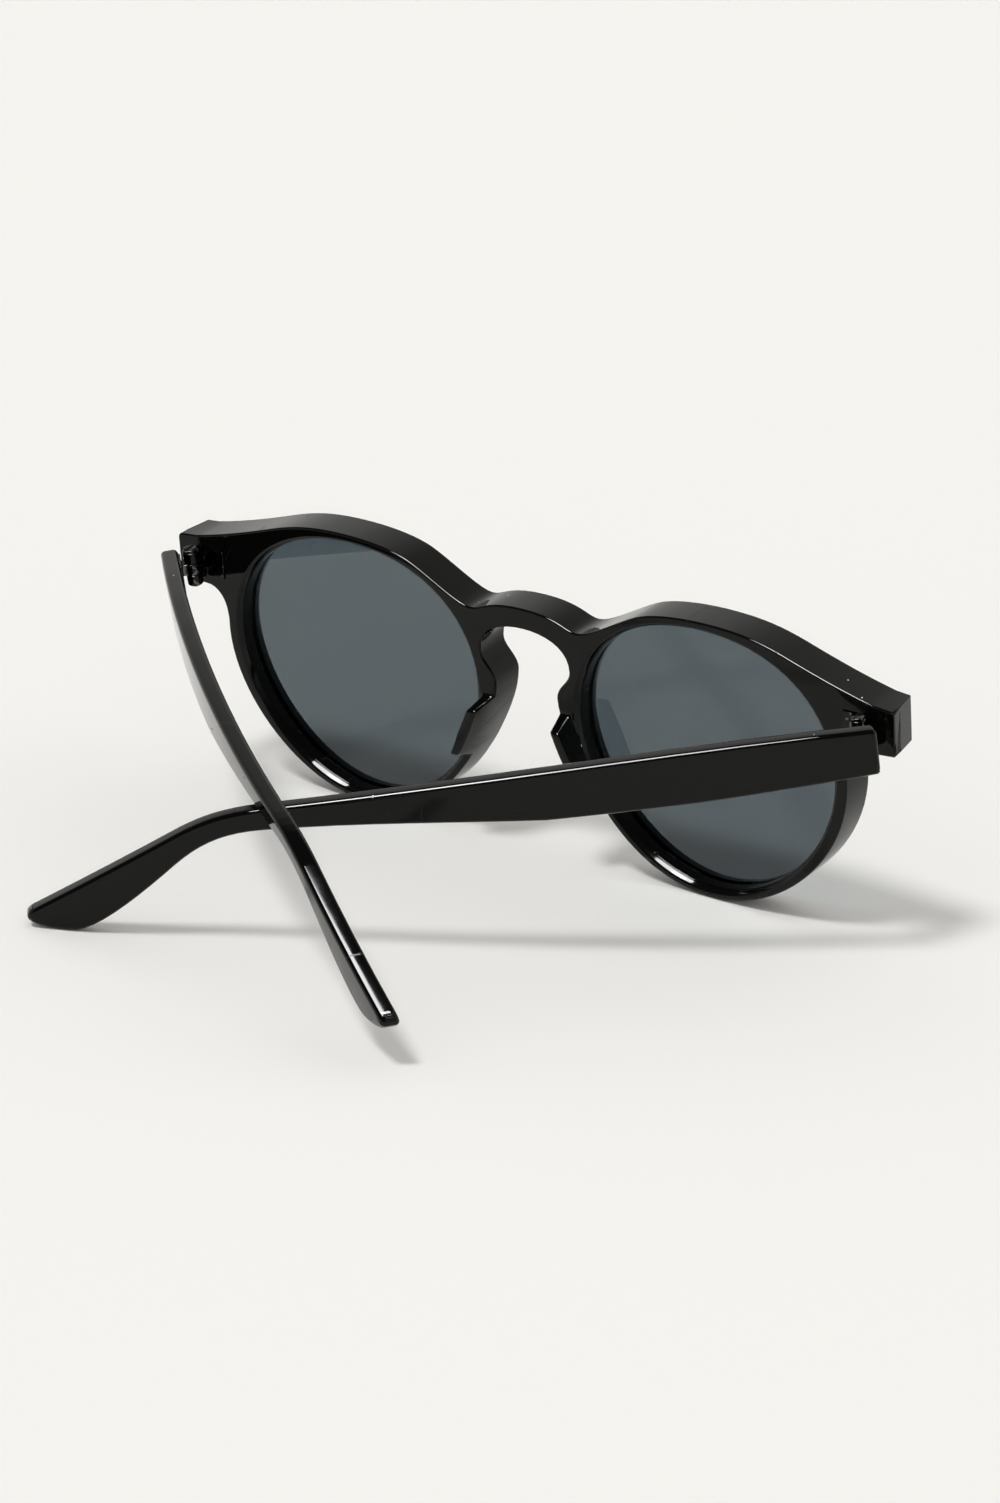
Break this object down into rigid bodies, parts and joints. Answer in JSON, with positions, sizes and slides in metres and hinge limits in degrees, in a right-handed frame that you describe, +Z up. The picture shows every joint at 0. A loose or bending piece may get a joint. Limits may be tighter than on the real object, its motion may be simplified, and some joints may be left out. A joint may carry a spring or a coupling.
{
  "type": "round sunglasses",
  "caption": "Round sunglasses with a keyhole bridge, flat tinted lenses, moulded nose pads and folding temples on screwed barrel hinges, standing with the temples crossed.",
  "frame": {"origin": "on the surface the sunglasses stand on, below the middle of the bridge at the rear face of the front", "axes": "+X towards the wearer's right, +Y the way the wearer looks, +Z up"},
  "size_m": [0.1482, 0.1013, 0.0516],
  "materials": {
    "frame_plastic": "polished black",
    "lens": "grey tint",
    "hinge_metal": "black gloss",
    "screw_brass": "plain"
  },
  "bodies": {
    "front": {"front_frame": "frame_plastic", "left_lens": "lens", "right_lens": "lens", "left_front_hinge": "hinge_metal", "right_front_hinge": "hinge_metal", "left_hinge_screw": "screw_brass", "right_hinge_screw": "screw_brass"},
    "left_temple": {"left_temple": "frame_plastic", "left_temple_hinge": "hinge_metal"},
    "right_temple": {"right_temple": "frame_plastic", "right_temple_hinge": "hinge_metal"}
  },
  "joints": [
    {"name": "left_hinge", "type": "hinge", "parent": "front", "child": "left_temple", "pos_m": [-0.0686, -0.00813, 0.03846], "axis": [0, 0.2605, -0.9655], "range_deg": [-34, 44]},
    {"name": "right_hinge", "type": "hinge", "parent": "front", "child": "right_temple", "pos_m": [0.0686, -0.00813, 0.03846], "axis": [0, -0.134, 0.991], "range_deg": [-29.7, 38.3]}
  ],
  "couplings": [
    {"joint": "right_hinge", "follows": "left_hinge", "ratio": 0.86}
  ]
}
